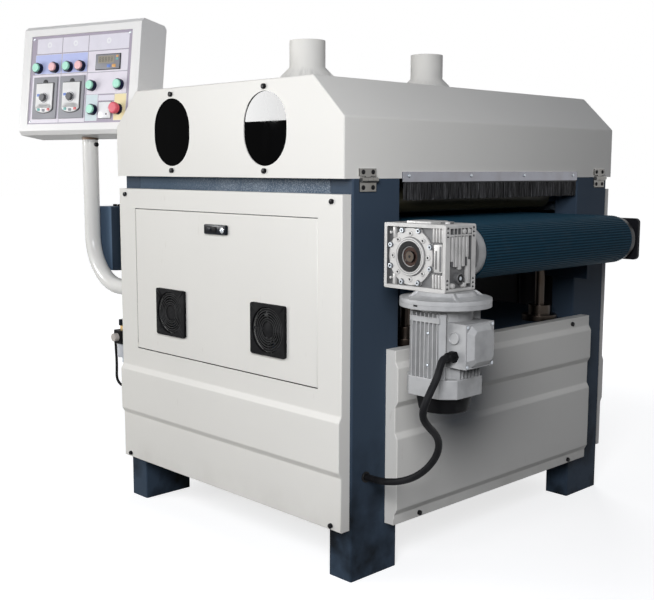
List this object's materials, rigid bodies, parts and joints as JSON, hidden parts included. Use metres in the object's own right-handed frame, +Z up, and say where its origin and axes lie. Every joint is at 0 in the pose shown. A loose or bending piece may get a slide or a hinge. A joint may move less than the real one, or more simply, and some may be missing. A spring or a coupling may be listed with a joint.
{
  "type": "brush sanding machine",
  "caption": "Floor-standing brush sander: a powered belt carries flat work under two brush drums in a hinged hood with dust ports, with a swivelling control console.",
  "frame": {"origin": "on the floor under the middle of the machine's box, cords left out", "axes": "+X is the way the work travels, +Y away from the cabinet door, +Z up"},
  "size_m": [1.7348, 1.206, 1.4018],
  "materials": {
    "panel_paint": "textured powder coat, satin",
    "frame_paint": "textured powder coat, satin",
    "black_paint": "semi gloss",
    "black_plastic": "moulded",
    "window_acrylic": "polished",
    "cast_alloy": "die cast, sprayed silver",
    "cast_iron": "painted casting",
    "ground_steel": "ground",
    "strip_aluminium": "anodised",
    "bristle_nylon": "bristle",
    "belt_rubber": "ribbed",
    "roller_rubber": "ground rubber",
    "brush_fibre": "abrasive fibre strips",
    "cord_rubber": "matte",
    "control_face": "printed foil on sheet",
    "button_green": "moulded",
    "button_red": "moulded",
    "knob_black": "moulded"
  },
  "bodies": {
    "base": {"frame_posts": "frame_paint", "side_rails": "frame_paint", "base_deck": "frame_paint", "front_panel": "panel_paint", "rear_panel": "panel_paint", "end_panels": "panel_paint", "hinge_frame_leaves": "ground_steel", "brush_bearings": "cast_iron", "brush_drives": "cast_iron", "lift_flanges": "ground_steel", "hold_down_arms": "frame_paint", "console_arm": "panel_paint", "air_regulator": "black_plastic", "air_hose": "cord_rubber"},
    "table": {"conveyor_bed": "frame_paint", "conveyor_belt": "belt_rubber", "roller_brackets": "black_paint", "lift_columns": "ground_steel", "tracking_cover": "frame_paint", "gearbox_housing": "cast_alloy", "gearbox_cover": "cast_alloy", "motor_adapter": "cast_alloy", "motor_housing": "cast_alloy", "terminal_box": "cast_alloy", "fan_cover": "cast_alloy", "fan_cowl": "black_plastic", "cable_gland": "black_plastic", "motor_cable": "cord_rubber"},
    "hood": {"hood_cover": "panel_paint", "dust_ports": "panel_paint", "hood_windows": "window_acrylic", "curtain_holders": "strip_aluminium", "curtain_bristles_infeed": "bristle_nylon", "curtain_bristles_outfeed": "bristle_nylon", "hinge_hood_leaves": "ground_steel"},
    "door": {"cabinet_door": "panel_paint", "fan_guards": "black_plastic"},
    "console": {"console_box": "panel_paint", "control_plate": "control_face"},
    "drive_roller": {"drive_roller": "ground_steel"},
    "idler_roller": {"idler_roller": "ground_steel"},
    "hold_down_infeed": {"hold_down_infeed": "roller_rubber"},
    "hold_down_outfeed": {"hold_down_outfeed": "roller_rubber"},
    "brush_infeed": {"brush_infeed": "brush_fibre"},
    "brush_outfeed": {"brush_outfeed": "brush_fibre"},
    "motor_pulley_infeed": {"motor_pulley_infeed": "cast_iron"},
    "motor_pulley_outfeed": {"motor_pulley_outfeed": "cast_iron"},
    "fan_rotor_left": {"fan_rotor_left": "black_plastic"},
    "fan_rotor_right": {"fan_rotor_right": "black_plastic"},
    "door_lock": {"door_lock": "black_plastic"},
    "e_stop": {"e_stop": "button_red"},
    "brush_1_start": {"brush_1_start": "button_green"},
    "brush_1_stop": {"brush_1_stop": "button_red"},
    "brush_2_start": {"brush_2_start": "button_green"},
    "brush_2_stop": {"brush_2_stop": "button_red"},
    "table_up_button": {"table_up_button": "button_green"},
    "table_down_button": {"table_down_button": "button_green"},
    "feed_start": {"feed_start": "button_green"},
    "brush_1_speed": {"brush_1_speed": "knob_black"},
    "brush_2_speed": {"brush_2_speed": "knob_black"}
  },
  "joints": [
    {"name": "table_lift", "type": "slide", "parent": "base", "child": "table", "axis": [0, 0, 1], "range_m": [-0.1, 0.012], "deforming": ["motor_cable"]},
    {"name": "drive_roller_spin", "type": "hinge", "parent": "table", "child": "drive_roller", "pos_m": [0.69739, 0.02995, 0.7797], "axis": [0, 1, 0], "continuous": true},
    {"name": "idler_roller_spin", "type": "hinge", "parent": "table", "child": "idler_roller", "pos_m": [-0.52061, 0.02995, 0.7797], "axis": [0, 1, 0], "continuous": true},
    {"name": "hold_down_infeed_spin", "type": "hinge", "parent": "base", "child": "hold_down_infeed", "pos_m": [-0.28161, 0.02995, 0.892], "axis": [0, 1, 0], "continuous": true},
    {"name": "hold_down_outfeed_spin", "type": "hinge", "parent": "base", "child": "hold_down_outfeed", "pos_m": [0.45839, 0.02995, 0.892], "axis": [0, 1, 0], "continuous": true},
    {"name": "brush_infeed_spin", "type": "hinge", "parent": "base", "child": "brush_infeed", "pos_m": [-0.10161, 0.02995, 1.008], "axis": [0, 1, 0], "continuous": true},
    {"name": "brush_outfeed_spin", "type": "hinge", "parent": "base", "child": "brush_outfeed", "pos_m": [0.27839, 0.02995, 1.008], "axis": [0, 1, 0], "continuous": true},
    {"name": "motor_pulley_infeed_spin", "type": "hinge", "parent": "base", "child": "motor_pulley_infeed", "pos_m": [-0.10161, 0.02995, 0.41], "axis": [0, 1, 0], "continuous": true},
    {"name": "motor_pulley_outfeed_spin", "type": "hinge", "parent": "base", "child": "motor_pulley_outfeed", "pos_m": [0.27839, 0.02995, 0.41], "axis": [0, 1, 0], "continuous": true},
    {"name": "hood_hinge", "type": "hinge", "parent": "base", "child": "hood", "pos_m": [0.55489, 0.02995, 0.943], "axis": [0, 1, 0], "range_deg": [0, 70]},
    {"name": "door_hinge", "type": "hinge", "parent": "base", "child": "door", "pos_m": [0.08839, -0.53005, 0.4665], "axis": [1, 0, 0], "range_deg": [0, 90]},
    {"name": "lock_turn", "type": "hinge", "parent": "door", "child": "door_lock", "pos_m": [0.12039, -0.53505, 0.813], "axis": [0, -1, 0], "range_deg": [0, 90]},
    {"name": "console_swivel", "type": "hinge", "parent": "base", "child": "console", "pos_m": [-0.63211, -0.46505, 1.05], "axis": [0, 0, 1], "range_deg": [-60, 90]},
    {"name": "fan_rotor_left_spin", "type": "hinge", "parent": "door", "child": "fan_rotor_left", "pos_m": [-0.11461, -0.53505, 0.577], "axis": [0, 1, 0], "continuous": true},
    {"name": "fan_rotor_right_spin", "type": "hinge", "parent": "door", "child": "fan_rotor_right", "pos_m": [0.29139, -0.53505, 0.577], "axis": [0, 1, 0], "continuous": true},
    {"name": "brush_1_start_press", "type": "slide", "parent": "console", "child": "brush_1_start", "axis": [-0.2832, 0.9499, -0.1323], "range_m": [0, 0.004], "stiffness_N_per_m": 400, "springref_m": -0.003},
    {"name": "brush_1_stop_press", "type": "slide", "parent": "console", "child": "brush_1_stop", "axis": [-0.2832, 0.9499, -0.1323], "range_m": [0, 0.004], "stiffness_N_per_m": 400, "springref_m": -0.003},
    {"name": "brush_2_start_press", "type": "slide", "parent": "console", "child": "brush_2_start", "axis": [-0.2832, 0.9499, -0.1323], "range_m": [0, 0.004], "stiffness_N_per_m": 400, "springref_m": -0.003},
    {"name": "brush_2_stop_press", "type": "slide", "parent": "console", "child": "brush_2_stop", "axis": [-0.2832, 0.9499, -0.1323], "range_m": [0, 0.004], "stiffness_N_per_m": 400, "springref_m": -0.003},
    {"name": "table_up_button_press", "type": "slide", "parent": "console", "child": "table_up_button", "axis": [-0.2832, 0.9499, -0.1323], "range_m": [0, 0.004], "stiffness_N_per_m": 400, "springref_m": -0.003},
    {"name": "table_down_button_press", "type": "slide", "parent": "console", "child": "table_down_button", "axis": [-0.2832, 0.9499, -0.1323], "range_m": [0, 0.004], "stiffness_N_per_m": 400, "springref_m": -0.003},
    {"name": "feed_start_press", "type": "slide", "parent": "console", "child": "feed_start", "axis": [-0.2832, 0.9499, -0.1323], "range_m": [0, 0.004], "stiffness_N_per_m": 400, "springref_m": -0.003},
    {"name": "e_stop_press", "type": "slide", "parent": "console", "child": "e_stop", "axis": [-0.2832, 0.9499, -0.1323], "range_m": [0, 0.005], "stiffness_N_per_m": 800, "springref_m": -0.003},
    {"name": "brush_1_speed_turn", "type": "hinge", "parent": "console", "child": "brush_1_speed", "pos_m": [-0.72936, -0.55814, 1.181], "axis": [0.2832, -0.9499, 0.1323], "range_deg": [-135, 135]},
    {"name": "brush_2_speed_turn", "type": "hinge", "parent": "console", "child": "brush_2_speed", "pos_m": [-0.62491, -0.527, 1.181], "axis": [0.2832, -0.9499, 0.1323], "range_deg": [-135, 135]}
  ],
  "couplings": [
    {"joint": "idler_roller_spin", "follows": "drive_roller_spin", "ratio": 1},
    {"joint": "motor_pulley_infeed_spin", "follows": "brush_infeed_spin", "ratio": 1.4054},
    {"joint": "motor_pulley_outfeed_spin", "follows": "brush_outfeed_spin", "ratio": 1.4054}
  ]
}
